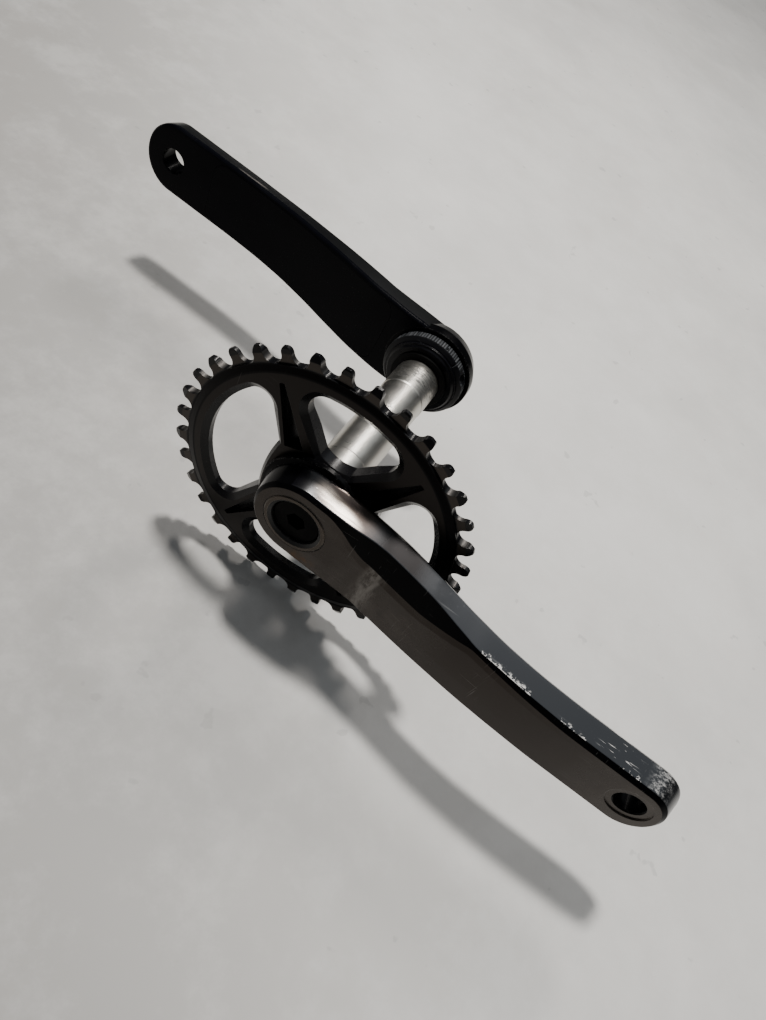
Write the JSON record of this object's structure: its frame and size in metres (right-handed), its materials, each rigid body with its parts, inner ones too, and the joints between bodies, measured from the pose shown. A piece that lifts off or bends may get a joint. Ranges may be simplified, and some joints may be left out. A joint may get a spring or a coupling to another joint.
{
  "type": "bicycle crankset",
  "caption": "Mountain bike crankset: two hollow crank arms, hollow splined spindle with bearing preload ring, and a direct-mount narrow-wide chainring.",
  "frame": {"origin": "spindle axis, midway between the two pedal faces, which is the middle of the bottom-bracket shell", "axes": "+X along the drive-side arm, -Y out of the drive side along the spindle, +Z across both"},
  "size_m": [0.3872, 0.168, 0.1446],
  "materials": {
    "arm_body": "dark bronze-grey satin anodised, polished bevel along one edge",
    "arm_plate": "gloss near-black anodised",
    "spindle_metal": "bright, fine turned finish",
    "black_plastic": "moulded, satin",
    "preload_ring": "satin black, knurled",
    "dark_steel": "black oxide",
    "seal_rubber": "matt",
    "chainring_metal": "satin black anodised with a brown cast",
    "lockring_metal": "satin black anodised",
    "extractor_metal": "satin grey anodised"
  },
  "bodies": {
    "left_unit": {"left_arm": "arm_body", "left_arm_plate": "arm_plate", "spindle": "spindle_metal", "spindle_bung": "black_plastic", "left_hub_cap": "black_plastic", "preload_o_ring": "seal_rubber"},
    "preload_washer": {"preload_washer": "black_plastic", "left_dust_seal": "seal_rubber"},
    "preload_ring": {"preload_ring": "preload_ring"},
    "clamp_screw": {"preload_clamp_screw": "dark_steel"},
    "drive_unit": {"drive_arm": "arm_body", "drive_arm_plate": "arm_plate", "chainring": "chainring_metal", "chainring_lockring": "lockring_metal", "lockring_washer": "dark_steel", "crank_bolt_washer": "dark_steel", "extractor_ring": "extractor_metal", "extractor_o_ring": "seal_rubber", "drive_dust_seal": "seal_rubber"},
    "crank_bolt": {"crank_bolt": "dark_steel"}
  },
  "joints": [
    {"name": "drive_side_slide", "type": "slide", "parent": "left_unit", "child": "drive_unit", "axis": [0, -1, 0], "range_m": [0, 0.14]},
    {"name": "crank_bolt_turn", "type": "hinge", "parent": "drive_unit", "child": "crank_bolt", "pos_m": [0, -0.0586, 0], "axis": [0, -1, 0], "continuous": true},
    {"name": "preload_washer_slide", "type": "slide", "parent": "left_unit", "child": "preload_washer", "axis": [0, -1, 0], "range_m": [0, 0.0025]},
    {"name": "preload_ring_turn", "type": "hinge", "parent": "preload_washer", "child": "preload_ring", "pos_m": [0, 0.0543, 0], "axis": [0, -1, 0], "range_deg": [0, 720]},
    {"name": "clamp_screw_turn", "type": "hinge", "parent": "preload_ring", "child": "clamp_screw", "pos_m": [0.01044, 0.0542, 0.01671], "axis": [0.848, 0, -0.5299], "range_deg": [0, 540]}
  ],
  "couplings": [
    {"joint": "preload_ring_turn", "follows": "preload_washer_slide", "rad_per_m": 5026.5}
  ]
}
